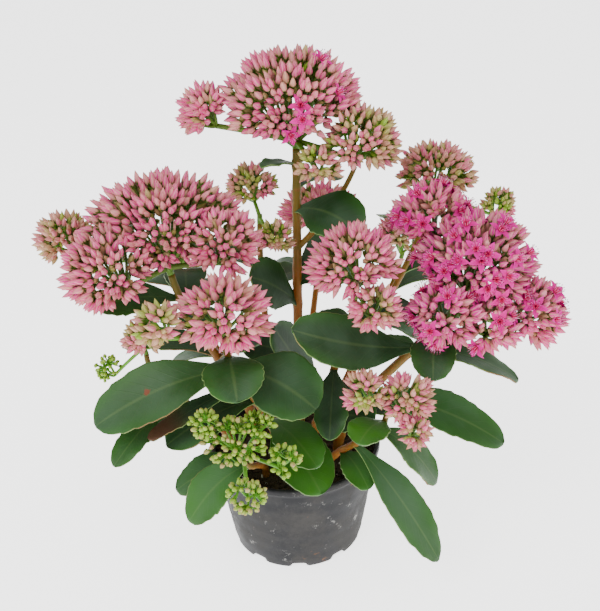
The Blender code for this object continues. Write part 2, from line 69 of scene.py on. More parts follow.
# The floor's half width, its colour and glow, how far it lies under the pot, and the sky's light
FLOOR_HALF = 6000.0
FLOOR_COLOUR = (0.92, 0.92, 0.92)
FLOOR_GLOW = 2.4
FLOOR_DROP = 0.0002
SKY_LIGHT = 0.85
WHITE = (1.0, 1.0, 1.0, 1.0)

# Each lamp's place, power in watts and width, and the point that both are turned to
LAMPS = {"key": ((-0.7, -0.9, 1.3), 16.0, 0.8), "fill": ((1.0, -0.8, 0.8), 5.0, 1.0)}
LAMP_AIM = Vector((0, 0, 0.18))

# Pot and soil
POT_RIM_RADIUS = 60.0
POT_FOOT_RADIUS = 47.0
POT_HEIGHT = 78.0
POT_WALL = 1.4
POT_FLOOR = 2.0
RIM_ROLL = 1.6
RIM_DEPTH = 5.0
DRAIN_NOTCHES = 10
NOTCH_WIDTH = 12.0
NOTCH_HEIGHT = 4.5
NOTCH_REACH = 7.0
POT_SEGMENTS = 200
SOIL_TOP = 71.0
SOIL_CROWN = 3.0
SOIL_RADIUS = 56.0
SOIL_SINK = 1.2
SOIL_SIDES = 96
HOLE_DEPTH = 18.0
CRUMBS = 900
GRITS = 70
SOIL_SEED = 11

# Stems and leaves
STEM_STEPS = 6
STEM_BASE_RADIUS = 3.6
STEM_TOP_RADIUS = 2.4
STEM_SIDES = 14
STEM_RINGS = 61
LOW_KNUCKLES = [0.12, 0.24, 0.36]
KNUCKLE_SWELL = 0.5
KNUCKLE_LENGTH = 0.012
HEAD_GAP = 0.5
FORK_RISE = 7.0
LEAF_EDGE_THICKNESS = 0.8
LEAF_CUP = 0.07
LEAF_WIDEST = 0.58
LEAF_ROWS = 40
LEAF_COLUMNS = 11
LEAF_RIPPLE = 0.9
RIB_DEPTH = 0.45
RIB_WIDTH = 1.1
TOOTH_START = 0.3
TOOTH_CREST = 0.78

# The rusty spot on the broad leaf at the left
RUST_SPOT = (-0.085, -0.072, 0.167)

# Buds grow in tufts: how many to a tuft, how far a tuft's edge sinks, and how many its edge lacks
TUFT_BUDS = 12
TUFT_SWELL = 0.12
TUFT_GAPS = 0.15

# Smaller green buds fill the dome under its skin: how many for each outer one, and how deep
INNER_SHARE = 0.6
INNER_DEPTH = 0.80

# Umbels less ripe than this have blunt young buds, set this much further apart
YOUNG_RIPENESS = 0.3
YOUNG_SPREAD = 1.14

# Each head's random draws start from its number in the list plus this
HEAD_SEED = 100

# Colours that no setting holds
LEAF_EDGE_GREEN = (0.029, 0.114, 0.010)
LEAF_DRY = (0.075, 0.032, 0.014)
LEAF_RUST = (0.15, 0.036, 0.008)
BUD_TIP = (0.42, 0.17, 0.11)
YOUNG_STALK = (0.100, 0.340, 0.012)
PETAL_TIP = (0.80, 0.03, 0.46)
PETAL_DEEP = (0.60, 0.005, 0.13)
PETAL_EDGE = (0.90, 0.12, 0.50)
STAMEN = (0.90, 0.35, 0.60)
ANTHER = (0.16, 0.02, 0.05)
POT_PIT = (0.012, 0.012, 0.012)
POT_SCUFF = (0.34, 0.33, 0.31)
POT_DIRT = (0.17, 0.075, 0.03)
SOIL_DRY = (0.085, 0.055, 0.032)

Shoot = namedtuple("Shoot", "root top bow girth")
Fork = namedtuple("Fork", "shoot height end radius")
Leaf = namedtuple("Leaf", "height tip width sag face tone", defaults=(0, 0.0))
Umbel = namedtuple("Umbel", "hub radii lean spread size ripe open", defaults=(0.0,))


def records(kind, table):
    """The table with each of its rows made into a record of one kind."""
    return {name: [kind(*row) for row in rows] for name, rows in table.items()}


# Where each stem leaves the soil, where it ends under its head, which way it bows out, and its girth
SHOOTS = {
    "top": Shoot((4, 8), (8, 26, 280), (0, 4), 1.05),
    "left": Shoot((-24, -4), (-72, -16, 216), (-8, -2), 1.0),
    "right": Shoot((30, -12), (98, -34, 190), (-12, -12), 1.05),
    "inner_right": Shoot((12, -20), (40, -38, 206), (4, -2), 0.85),
    "front_left": Shoot((-10, -20), (-38, -66, 194), (-2, -12), 0.85),
    "back_right": Shoot((32, 16), (98, 50, 232), (10, 6), 0.8),
    "back_left": Shoot((-14, 20), (-18, 40, 224), (-4, 4), 0.8),
    "low_front": Shoot((-20, -34), (-30, -78, 120), (-4, -14), 0.7),
    "low_right": Shoot((22, -34), (56, -76, 147), (8, -14), 0.75),
    "far_left": Shoot((-38, -18), (-88, -44, 176), (-16, -8), 0.7),
    "rear": Shoot((8, 38), (24, 92, 186), (2, 14), 0.8),
    "rear_left": Shoot((-32, 26), (-78, 68, 176), (-12, 8), 0.8),
    "rear_right": Shoot((32, 34), (84, 96, 168), (10, 12), 0.75),
}

# Side branches of a stem: the height where each parts from it, where it ends, and its radius
FORKS = [
    Fork("top", 214, (44, 14, 271), 1.9),
]

# Each stem's leaves: the height where a leaf leaves it, the leaf's tip, width and arch, how far its face
# turns to the front in degrees, and how bright its green is, from 0 to 1, or -1 for a leaf that has dried
LEAVES = records(Leaf, {
    "top": [
        (240, (44, -14, 238), 36, 6, 40), (254, (34, 66, 244), 26, 6, 0, 0.1),
        (270, (-14, 8, 275), 14, 2, 0, 0.2), (270, (30, 42, 274), 14, 2, 0, 0.2),
        (200, (46, 54, 206), 28, 6, 0, 0.1), (176, (-24, -8, 208), 34, 3, 75), (150, (44, 18, 158), 30, 6),
        (190, (44, 6, 212), 30, 3, 65), (132, (-34, 4, 150), 30, 6, 30),
    ],
    "left": [
        (198, (-118, -27, 200), 24, 4, 30, 0.35), (188, (-70, 36, 194), 28, 8, 0, 0.2),
        (192, (-50, -42, 190), 24, 3, 0, 0.1), (152, (-112, 8, 152), 30, 8, 0, 0.2),
        (150, (-20, -20, 166), 28, 4),
    ],
    "right": [
        (164, (144, -36, 142), 28, 8, 0, 0.3), (168, (2, -72, 205), 34, -4, 55),
        (180, (84, -70, 166), 27, 5, 0, 0.1), (126, (140, -30, 88), 30, 9, 30, 0.3),
        (176, (134, 20, 176), 28, 6, 0, 0.2), (108, (86, -22, 110), 28, 6, 0, 0.1),
    ],
    "inner_right": [
        (118, (-10, -46, 193), 31, 3, 85), (172, (76, -16, 190), 22, 4, 0, 0.1),
        (104, (52, -46, 122), 28, 5, 30, 0.1), (152, (22, -76, 130), 22, 5), (136, (42, -52, 142), 24, 4),
    ],
    "front_left": [
        (184, (-30, -99, 175), 35, 6, 0, 0.15), (174, (-116, -80, 149), 36, 7, 35, 0.2),
        (174, (14, -84, 158), 42, 6, 30, 0.1), (116, (14, -82, 114), 27, 6, 20, 0.9),
        (108, (16, -78, 90), 39, 6, 0, 1.0), (140, (-78, -68, 124), 30, 5, 20, 0.1),
        (158, (-86, -80, 138), 13, 3, 20, -1.0),
    ],
    "back_left": [
        (190, (-70, 44, 206), 28, 7, 0, 0.2), (176, (22, 66, 172), 30, 8, 0, 0.1),
    ],
    "back_right": [
        (208, (72, 88, 206), 28, 8, 0, 0.2), (184, (138, 74, 170), 30, 9, 0, 0.2),
        (124, (88, 22, 132), 30, 6, 0, 0.1),
    ],
    "low_front": [
        (110, (-66, -86, 79), 30, 7, 20, 0.8), (100, (-76, -62, 84), 26, 7, 20, 0.5),
    ],
    "low_right": [
        (112, (91, -80, 34), 27, 6, 25, 0.3), (134, (88, -75, 94), 25, 7, 20, 0.3),
        (142, (38, -100, 144), 25, 4, 0, 0.9), (98, (46, -70, 86), 22, 5, 0, 0.7),
    ],
    "far_left": [
        (148, (-89, -62, 128), 22, 5, 20, 0.3), (138, (-108, -84, 122), 18, 5, 30, 0.4),
        (134, (-112, -6, 124), 26, 8, 0, 0.2),
    ],
    "rear": [
        (172, (36, 150, 166), 30, 9, 0, 0.2), (156, (-22, 124, 150), 30, 9, 0, 0.1),
    ],
    "rear_left": [
        (162, (-118, 98, 154), 30, 9, 0, 0.2), (146, (-50, 112, 146), 28, 8, 0, 0.1),
        (120, (-98, 64, 96), 28, 8, 0, 0.4),
    ],
    "rear_right": [
        (146, (134, 122, 140), 28, 9, 0, 0.2), (128, (104, 64, 110), 30, 9, 0, 0.3),
        (108, (78, 108, 76), 28, 8, 0, 0.5),
    ],
})

# Each head is one or more umbels: hub, dome radii, lean of its axis (x, y), spread in degrees, bud size,
# how ripe and pink its buds are, and the share of them that are open
HEADS = records(Umbel, {
    "top": [
        ((6, 28, 302), (51, 42, 44), (0, -0.05), 98, 1.0, 0.8, 0.02),
        ((-46, 28, 304), (21, 20, 22), (-0.6, 0), 105, 1.0, 0.8),
        ((47, 10, 287), (28, 25, 28), (0.4, -0.3), 108, 0.95, 0.5),
        ((21, -4, 278), (17, 13, 17), (-0.1, -0.7), 110, 0.85, 0.5),
    ],
    "left": [
        ((-74, -10, 240), (56, 42, 43), (-0.05, -0.1), 98, 1.0, 0.85),
        ((-104, -34, 226), (34, 32, 34), (-0.4, -0.35), 104, 1.0, 0.9),
        ((-38, -28, 238), (26, 26, 30), (0.3, -0.3), 102, 1.0, 0.9),
        ((-137, -4, 236), (21, 20, 22), (-0.5, 0), 108, 0.9, 0.5),
    ],
    "right": [
        ((113, -28, 218), (42, 38, 42), (0.2, -0.2), 100, 1.05, 1.25, 0.12),
        ((90, -6, 242), (30, 26, 28), (-0.1, 0), 102, 1.05, 1.15, 0.1),
        ((92, -54, 200), (27, 24, 27), (-0.2, -0.6), 106, 1.05, 1.4, 0.12),
        ((143, -40, 192), (29, 26, 30), (0.6, -0.4), 104, 1.05, 1.1, 0.08),
        ((119, -54, 192), (22, 20, 24), (0.1, -0.7), 104, 1.05, 1.2, 0.1),
    ],
    "inner_right": [
        ((39, -46, 230), (31, 28, 31), (-0.2, -0.2), 104, 0.95, 0.85),
        ((50, -64, 212), (19, 17, 24), (0.1, -0.6), 108, 0.95, 0.8),
    ],
    "front_left": [
        ((-36, -72, 214), (31, 28, 30), (0.1, -0.45), 108, 1.1, 0.8),
        ((-70, -84, 216), (18, 15, 20), (-0.4, -0.2), 105, 1.05, 0.42),
    ],
    "back_right": [
        ((100, 50, 250), (31, 26, 26), (0.1, -0.1), 102, 0.9, 0.5),
        ((143, 50, 226), (14, 13, 17), (0.3, -0.2), 106, 0.8, 0.35),
    ],
    "back_left": [
        ((-22, 48, 246), (20, 18, 20), (-0.1, 0), 105, 0.85, 0.4),
        ((-7, 8, 226), (14, 12, 19), (0.1, -0.4), 110, 0.85, 0.45),
    ],
    "low_front": [
        ((-34, -86, 138), (22, 17, 20), (0, -0.4), 108, 0.9, 0.12),
        ((-50, -88, 152), (12, 11, 13), (-0.4, -0.1), 105, 0.9, 0.12),
        ((-20, -86, 148), (12, 11, 13), (0.3, -0.2), 105, 0.9, 0.12),
        ((-6, -93, 128), (12, 12, 14), (0.5, -0.3), 105, 0.9, 0.12),
        ((-28, -103, 112), (14, 12, 14), (0, -0.9), 108, 0.9, 0.12),
    ],
    "low_right": [
        ((66, -86, 164), (20, 18, 20), (0.3, -0.4), 106, 0.85, 0.6),
        ((43, -88, 170), (16, 15, 19), (-0.4, -0.3), 106, 0.85, 0.55),
        ((70, -96, 148), (13, 12, 15), (0.2, -0.8), 104, 0.85, 0.6),
    ],
    "far_left": [
        ((-88, -48, 188), (15, 14, 16), (-0.2, -0.3), 104, 0.85, 0.4),
        ((-113, -38, 162), (10, 10, 12), (-0.6, -0.1), 106, 0.75, 0.0),
    ],
    "rear": [((24, 96, 204), (34, 32, 30), (0, 0.2), 100, 1.15, 0.7)],
    "rear_left": [((-80, 72, 192), (28, 26, 26), (-0.2, 0.2), 100, 1.15, 0.6)],
    "rear_right": [((86, 98, 184), (26, 26, 24), (0.2, 0.2), 100, 1.15, 0.5)],
})


def length_property(name, description, default):
    """A length that a user may change."""
    return FloatProperty(name=name, description=description, default=default, unit="LENGTH")


def colour_property(name, description, default):
    """A colour that a user may change."""
    return FloatVectorProperty(
        name=name, description=description, default=default, subtype="COLOR", min=0, max=1)


class PlantSizes(bpy.types.PropertyGroup):
    """Sizes of the buds, flowers and leaf teeth."""

    bud_length: length_property("Bud length", "Base to tip", 0.0100)
    bud_radius: length_property("Bud radius", "At its widest", 0.0020)
    bud_pitch: length_property("Bud pitch", "Between neighbours", 0.0064)
    stalk_radius: length_property("Stalk radius", "Of a bud's stalk", 0.0006)
    petal_length: length_property("Petal length", "Of an open flower", 0.0080)
    tooth_depth: length_property("Tooth depth", "Of a leaf's teeth", 0.0009)
    leaf_teeth: IntProperty(name="Leaf teeth", description="On each side of a leaf", default=7, min=2)
    crumb_size: length_property("Crumb size", "Of the soil", 0.0016)


class PlantColours(bpy.types.PropertyGroup):
    """Colours of the plant, the pot and the soil."""

    leaf: colour_property("Leaf", "Full-grown leaf", (0.011, 0.037, 0.010))
    young_leaf: colour_property("Young leaf", "Bright young leaf", (0.036, 0.155, 0.005))
    bloom: colour_property("Bloom", "Waxy bloom on a leaf", (0.058, 0.114, 0.062))
    margin: colour_property("Margin", "Leaf edge and midrib", (0.230, 0.330, 0.100))
    blush: colour_property("Blush", "Red blush at a leaf's edge", (0.260, 0.070, 0.030))
    stem: colour_property("Stem", "Green upper stem", (0.100, 0.098, 0.012))
    old_stem: colour_property("Old stem", "Orange-brown lower stem", (0.190, 0.072, 0.010))
    bud_base: colour_property("Bud base", "Green foot of a bud", (0.100, 0.190, 0.030))
    bud_cream: colour_property("Bud cream", "Seams of a bud", (0.640, 0.500, 0.250))
    bud_pink: colour_property("Bud pink", "Ripe petals of a bud", (0.720, 0.060, 0.285))
    bud_green: colour_property("Bud green", "Unripe petals of a bud", (0.230, 0.390, 0.026))
    bud_magenta: colour_property("Bud magenta", "Buds about to open", (0.700, 0.015, 0.330))
    open_petal: colour_property("Open petal", "Petals of an open flower", (0.620, 0.000, 0.250))
    carpel: colour_property("Carpel", "Middle of an open flower", (0.560, 0.012, 0.110))
    pot: colour_property("Pot", "Pot plastic", (0.012, 0.012, 0.014))
    dust: colour_property("Dust", "Dust on the pot", (0.056, 0.053, 0.050))
    soil: colour_property("Soil", "Damp soil", (0.028, 0.018, 0.011))
    grit: colour_property("Grit", "Pale grit in the soil", (0.620, 0.580, 0.500))


class Build:
    """Points, triangles and per-point values gathered for one mesh, in millimetres."""

    def __init__(self):
        self.points = []
        self.triangles = []
        self.values = {name: [] for name in VALUE_NAMES}
        self.count = 0

    def add(self, points, triangles, **values):
        """Adds one shape, with a value or a value per point for each name given."""
        points = np.asarray(points, float).reshape(-1, 3)
        self.points.append(points)
        self.triangles.append(np.asarray(triangles, int).reshape(-1, 3) + self.count)
        for name in VALUE_NAMES:
            value = np.asarray(values.get(name, 0.0), float).ravel()
            self.values[name].append(np.resize(value, len(points)))
        self.count += len(points)

    def add_copies(self, shape, frames, places, **values):
        """Adds a copy of a template at each place; a copy's own value fills all of its points."""
        points, triangles, along, across = shape
        copies = np.einsum("nij,pj->npi", frames, points) + places[:, None, :]
        number = len(places)
        steps = (np.arange(number) * len(points))[:, None, None]
        own = {name: np.repeat(np.resize(value, number), len(points)) for name, value in values.items()}
        if number:
            own.update(along=np.tile(along, number), across=np.tile(across, number))
            self.add(copies, triangles + steps, **own)

    def mesh(self, name):
        """One mesh of all that was added, in metres, with its values as point attributes."""
        points = np.concatenate(self.points) * MM
        triangles = np.concatenate(self.triangles)
        mesh = bpy.data.meshes.new(name)
        mesh.vertices.add(len(points))
        mesh.vertices.foreach_set("co", points.ravel())
        mesh.loops.add(triangles.size)
        mesh.loops.foreach_set("vertex_index", triangles.ravel())
        mesh.polygons.add(len(triangles))
        mesh.polygons.foreach_set("loop_start", np.arange(len(triangles)) * 3)
        mesh.update(calc_edges=True)
        for value_name in VALUE_NAMES:
            layer = mesh.attributes.new(value_name, "FLOAT", "POINT")
            layer.data.foreach_set("value", np.concatenate(self.values[value_name]).astype(np.float32))
        mesh.shade_smooth()
        return mesh


def add_object(name, data):
    """A new object in the scene."""
    thing = bpy.data.objects.new(name, data)
    bpy.context.scene.collection.objects.link(thing)
    return thing


def place(build, name, coat, node):
    """Puts a mesh in the scene as a piece that stands for a node of the frame."""
    piece = add_object(name, build.mesh(name))
    piece.data.materials.append(coat)
    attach(piece, "root")
    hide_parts(node)


def turns(number):
    """Evenly spread turns of a full circle."""
    return TURN * np.arange(number) / number


def circle(radius, turn, height):
    """Points round Z at each turn, at a radius and a height."""
    return np.stack([radius * np.cos(turn), radius * np.sin(turn), np.broadcast_to(height, turn.shape)], 1)


def unit(ways):
    """Directions brought to a length of one."""
    return ways / np.linalg.norm(ways, axis=1)[:, None]


def ring_triangles(rings, sides, close_start=True, close_end=True):
    """Triangles that skin a stack of closed rings, each with the same number of sides."""
    side = np.arange(sides)
    beside = (side + 1) % sides
    bands = []
    for ring in range(rings - 1):
        here, above = ring * sides, (ring + 1) * sides
        bands.append(np.stack([here + side, here + beside, above + beside], 1))
        bands.append(np.stack([here + side, above + beside, above + side], 1))
    fan = np.stack([np.zeros(sides - 2, int), side[1:-1], beside[1:-1]], 1)
    if close_start:
        bands.append(fan[:, ::-1])
    if close_end:
        bands.append(fan + (rings - 1) * sides)
    return np.concatenate(bands)


def tube(path, radii, sides):
    """Points and triangles of a tapering tube along a path."""
    path = np.asarray(path, float)
    ahead = unit(np.gradient(path, axis=0))
    turn = turns(sides)
    across = np.array((1.0, 0.0, 0.0))
    if abs(ahead[0] @ across) > 0.9:
        across = np.array((0.0, 1.0, 0.0))
    rings = []
    for centre, way, radius in zip(path, ahead, radii):
        across = across - way * (across @ way)
        across /= np.linalg.norm(across)
        beside = np.cross(way, across)
        rings.append(centre + radius * (np.cos(turn)[:, None] * across + np.sin(turn)[:, None] * beside))
    return np.concatenate(rings), ring_triangles(len(path), sides)


def frames_along(ways, spins, wide, long):
    """Matrices that turn a template's Z along each way, scaled by its width and length."""
    ways = unit(ways)
    helper = np.where(np.abs(ways[:, :1]) < 0.8, [[1.0, 0.0, 0.0]], [[0.0, 1.0, 0.0]])
    first = unit(np.cross(ways, helper))
    second = np.cross(ways, first)
    cos, sin = np.cos(spins)[:, None], np.sin(spins)[:, None]
    sideways = first * cos + second * sin
    beside = second * cos - first * sin
    wide = np.resize(wide, len(ways))[:, None]
    long = np.resize(long, len(ways))[:, None]
    return np.stack([sideways * wide, beside * wide, ways * long], axis=2)


def stem_point(shoot, share):
    """A point on a stem's axis: upright at the soil, bowing outwards, then up to the head."""
    foot = Vector((*shoot.root, SOIL_TOP + SOIL_CROWN + 1))
    top = Vector(shoot.top)
    low = foot + Vector((0, 0, (top.z - foot.z) * 0.3))
    high = foot.lerp(top, 0.72) + Vector((*shoot.bow, 0))
    rest = 1 - share
    return foot * rest**3 + low * (3 * rest**2 * share) + high * (3 * rest * share**2) + top * share**3


def stem_radius(shoot, share):
    """A stem is thickest at the soil."""
    return shoot.girth * (STEM_BASE_RADIUS + (STEM_TOP_RADIUS - STEM_BASE_RADIUS) * share)


def stem_share(shoot, height):
    """How far up its stem a height is, by halving."""
    low, high = 0.0, 1.0
    for _ in range(24):
        middle = (low + high) / 2
        if stem_point(shoot, middle).z < height:
            low = middle
        else:
            high = middle
    return low


def add_stem(build, name):
    """A smooth fleshy stem with a slight knuckle where each leaf leaves it, and its side branches."""
    shoot = SHOOTS[name]
    knuckles = [stem_share(shoot, leaf.height) for leaf in LEAVES[name]] + LOW_KNUCKLES
    shares = np.linspace(0, 1, STEM_RINGS)
    path = [Vector((*shoot.root, SOIL_TOP - HOLE_DEPTH)), Vector((*shoot.root, SOIL_TOP - 4))]
    radii = [stem_radius(shoot, 0)] * 2
    for share in shares:
        swell = sum(math.exp(-(((share - knuckle) / KNUCKLE_LENGTH) ** 2)) for knuckle in knuckles)
        path.append(stem_point(shoot, share))
        radii.append(stem_radius(shoot, share) * 0.97 + shoot.girth * KNUCKLE_SWELL * swell)
    points, triangles = tube([tuple(point) for point in path], radii, STEM_SIDES)
    build.add(points, triangles, along=np.repeat(np.concatenate([[0, 0], shares]), STEM_SIDES))
    for fork in FORKS:
        if fork.shoot == name:
            start, end = np.array(stem_point(shoot, stem_share(shoot, fork.height))), np.array(fork.end)
            bend = np.array((*(start * 0.3 + end * 0.7)[:2], (start[2] + end[2]) / 2))
            path = bent_path(start, bend, end, 16)
            points, triangles = tube(path, np.linspace(1.1, 0.8, 16) * fork.radius, 12)
            build.add(points, triangles, along=np.repeat(np.linspace(0.6, 1, 16), 12))


def hash_chance(text):
    """A steady number from 0 to 1 for a name."""
    return sum(ord(letter) * (index + 3) for index, letter in enumerate(text)) * 0.137 % 1


def leaf_half_width(share):
    """The outline of a leaf as a share of its half width: a wedge at the stalk and a round tip."""
    if share < LEAF_WIDEST:
        rise = share / LEAF_WIDEST
        return 0.17 + 0.83 * rise * rise * (3 - 2 * rise)
    fall = (share - LEAF_WIDEST) / (1 - LEAF_WIDEST)
    return max(math.sqrt(max(1 - fall**2.4, 0)), 0.1)


def leaf_frame(leaf, share, base):
    """Centre, sideways and upward directions of a leaf's arched midrib."""
    tip = Vector(leaf.tip)
    crest = (base + tip) / 2 + Vector((0, 0, 2 * leaf.sag))
    rest = 1 - share
    centre = base * rest**2 + crest * (2 * rest * share) + tip * share**2
    along = ((crest - base) * rest + (tip - crest) * share).normalized()
    sideways = along.cross(Vector((0, 0, 1))).normalized()
    upward = sideways.cross(along)
    roll = Matrix.Rotation(-math.radians(leaf.face) * sideways.y, 3, along)
    return np.array(centre), np.array(roll @ sideways), np.array(roll @ upward)


def leaf_tooth(share, chance, sizes):
    """How far a leaf's edge stands out for its blunt, forward-pointing teeth, no two quite alike."""
    if share < TOOTH_START:
        return 0.0
    past = share - TOOTH_START
    phase = (past / (1 - TOOTH_START) * sizes.leaf_teeth + 0.35 * math.sin(5 * share + 20 * chance)) % 1
    rise = phase / TOOTH_CREST if phase < TOOTH_CREST else (1 - phase) / (1 - TOOTH_CREST)
    bold = 0.85 + 0.5 * math.sin(13 * share + 31 * chance)
    return sizes.tooth_depth / MM * bold * (rise - 0.4) * min(past * 6, 1)


def add_leaf(build, name, leaf, chance, sizes):
    """A fleshy blade: toothed margin, sunken midrib above, raised rib below, gently rippled edge."""
    base = stem_point(SHOOTS[name], stem_share(SHOOTS[name], leaf.height))
    across = np.sin(np.linspace(-math.pi / 2, math.pi / 2, LEAF_COLUMNS))
    shares = np.arange(LEAF_ROWS + 1) / LEAF_ROWS
    rows = []
    for share in shares:
        centre, sideways, upward = leaf_frame(leaf, share, base)
        half = leaf.width / 2 * leaf_half_width(share)
        left, right = (leaf_tooth(share, chance + more, sizes) for more in (0.0, 0.4))
        outer = half + np.where(across < 0, left, right)
        ripple = LEAF_RIPPLE * math.sin(share * 17 + chance * 9) * share
        spread = np.where(np.abs(across) > 0.8, across * outer, across * half)
        lift = LEAF_CUP * 2 * half * np.abs(across) ** 1.6 + ripple * np.abs(across) ** 3 * np.sign(across)
        thick = LEAF_EDGE_THICKNESS / 2 + (1 - across**2) * 0.65 * (1 - 0.3 * share)
        groove = RIB_DEPTH * np.exp(-((across * half / RIB_WIDTH) ** 2)) * (1 - share)
        middle = centre + spread[:, None] * sideways
        upper = middle + (lift + thick - groove)[:, None] * upward
        lower = middle + (lift - thick - groove * 0.8)[:, None] * upward
        rows += [upper, lower[::-1]]
    sides = 2 * LEAF_COLUMNS
    ring = np.tile(np.concatenate([across, across[::-1]]), len(shares))
    under = np.tile(np.repeat([0.0, 2.0], LEAF_COLUMNS), len(shares))
    build.add(np.concatenate(rows), ring_triangles(len(shares), sides)[:, ::-1],
              along=np.repeat(shares, sides), across=ring, tone=leaf.tone + under)


def umbel_axes(umbel):
    """The umbel's own cross axes and upright axis, as columns."""
    axis = Vector((*umbel.lean, 1)).normalized()
    across = Vector((1, 0, 0))
    across = (across - axis * across.dot(axis)).normalized()
    return np.array([across, axis.cross(across), axis]).T


def dome_directions(count, spread, rng, jitter):
    """Evenly spread directions over a cap, a little disordered, in the umbel's own frame."""
    low = math.cos(math.radians(spread))
    index = np.arange(count)
    height = 1 - (index + 0.5) / count * (1 - low)
    ways = circle(np.sqrt(np.clip(1 - height**2, 0, 1)), index * GOLDEN_ANGLE, height)
    return unit(ways + rng.normal(0, jitter, ways.shape))


def dome_reach(umbel, ways):
    """How far the dome's skin is from its hub along each direction."""
    return 1 / np.sqrt(((ways / np.array(umbel.radii)) ** 2).sum(1))


def inside_others(points, umbel, umbels):
    """Which points lie well inside another umbel of the same head."""
    hidden = np.zeros(len(points), bool)
    for other in (other for other in umbels if other is not umbel):
        local = (points - np.array(other.hub)) @ umbel_axes(other) / np.array(other.radii)
        hidden |= ((local**2).sum(1) < 0.62) & (local[:, 2] > -0.1)
    return hidden


def bud_shape(young):
    """A bud one unit long and wide: five petals folded edge to edge, pointed when ripe, blunt when young."""
    heights = (0.0, 0.20, 0.42, 0.68, 0.88, 1.0)
    widths = (0.50, 0.88, 1.0, 0.88, 0.52, 0.08) if young else (0.50, 0.96, 1.0, 0.66, 0.28, 0.02)
    seam = np.arange(10) % 2
    ridge = np.where(seam == 1, 0.84, 1.05)
    points = [circle(width * ridge, turns(10), height) for height, width in zip(heights, widths)]
    triangles = ring_triangles(6, 10, False, False)
    return np.concatenate(points), triangles, np.repeat(heights, 10), np.tile(seam, 6)


def inner_bud_shape():
    """A plain small bud for the inside of a dome."""
    points, triangles = tube([(0, 0, 0), (0, 0, 0.35), (0, 0, 0.7), (0, 0, 1)], (0.5, 1.0, 0.8, 0.05), 5)
    return points, triangles, points[:, 2], 0.0


def sepal_shape():
    """Five short green sepals that hug the foot of a bud."""
    turn = np.array((-0.45, 0.45, 0.28, -0.28, 0.0))
    radius = np.array((0.62, 0.62, 1.02, 1.02, 1.12))
    outline = circle(radius, turn, (0.02, 0.02, 0.16, 0.16, 0.36))
    points, triangles = spun(outline, np.array([(0, 1, 2), (0, 2, 3), (3, 2, 4)]), 5)
    return points, triangles, 0.0, 0.0


def stalk_shape():
    """A thin stalk one unit long that bows a little to one side."""
    points = [circle(width, turns(4), height) + (2.2 * height * (1 - height), 0, 0)
              for height, width in ((0.0, 1.15), (0.5, 1.0), (1.0, 1.1))]
    return np.concatenate(points), ring_triangles(3, 4, False, False), 0.0, 0.0


def petal_rows(tilt, width):
    """One lance-shaped petal in the XZ plane, folded along its keel, leaning out by a tilt."""
    points = []
    for share, half in ((0.06, 0.30), (0.30, 0.85), (0.58, 1.0), (0.82, 0.55), (1.0, 0.04)):
        lean = tilt + 0.35 * share
        x, z = share * math.sin(lean), share * math.cos(lean)
        for side in (-1, 0, 1):
            fold = 0.10 * half * abs(side)
            points.append((x - fold * math.cos(lean), side * half * width, z + fold * math.sin(lean)))
    triangles = []
    for row in range(4):
        for column in (0, 1):
            corner = 3 * row + column
            triangles += [(corner, corner + 1, corner + 4), (corner, corner + 4, corner + 3)]
    return np.array(points), np.array(triangles)


def spun(points, triangles, times, offset=0.0):
    """Copies of a shape turned evenly about Z."""
    copies, faces = [], []
    for index in range(times):
        turn = TURN * index / times + offset
        cos, sin = math.cos(turn), math.sin(turn)
        copies.append(points @ np.array([[cos, sin, 0], [-sin, cos, 0], [0, 0, 1]]))
        faces.append(triangles + index * len(points))
    return np.concatenate(copies), np.concatenate(faces)


def open_petals_shape():
    """The five spread petals of an open flower, one unit long."""
    points, triangles = spun(*petal_rows(0.95, 0.24), 5)
    return points, triangles, np.linalg.norm(points[:, :2], axis=1), np.tile((1.0, 0.0, 1.0), 25)


def carpels_shape():
    """Five upright carpels that spread at their tips, in the middle of an open flower."""
    path = [(0.06, 0, 0.0), (0.13, 0, 0.18), (0.14, 0, 0.36), (0.20, 0, 0.58)]
    points, triangles = spun(*tube(path, (0.05, 0.09, 0.06, 0.01), 5), 5, 0.6)
    return points, triangles, 0.0, 0.0


def stamens_shape():
    """Ten fine stamens with a dark anther at each tip."""
    thread, faces = tube([(0.10, 0, 0.0), (0.26, 0, 0.38), (0.36, 0, 0.72)], (0.018, 0.014, 0.012), 3)
    anther, lumps = tube([(0.35, 0, 0.70), (0.365, 0, 0.745), (0.38, 0, 0.79)], (0.015, 0.045, 0.012), 5)
    dark = np.repeat([0.0, 1.0], (len(thread), len(anther)))
    lumps = lumps + len(thread)
    points, triangles = spun(np.concatenate([thread, anther]), np.concatenate([faces, lumps]), 10, 0.3)
    return points, triangles, 0.0, np.tile(dark, 10)


def head_fork(name):
    """Where a head's branches part, just above its stem's cut end."""
    shoot = SHOOTS[name]
    top = Vector(shoot.top)
    ahead = (top - stem_point(shoot, 1 - 1 / STEM_STEPS)).normalized()
    return np.array(top + ahead * HEAD_GAP), np.array(top + ahead * FORK_RISE)


def bent_path(start, middle, end, steps):
    """A smooth path from start to end that leans towards the middle point."""
    share = np.linspace(0, 1, steps)[:, None]
    return start * (1 - share) ** 2 + middle * 2 * share * (1 - share) + end * share**2


def add_branch(stalks, start, bend, end, radii, sides, ripe):
    """A tapering green branch that bends from its start to its end."""
    points, triangles = tube(bent_path(start, bend, end, len(radii)), radii, sides)
    stalks.add(points, triangles, tone=ripe)


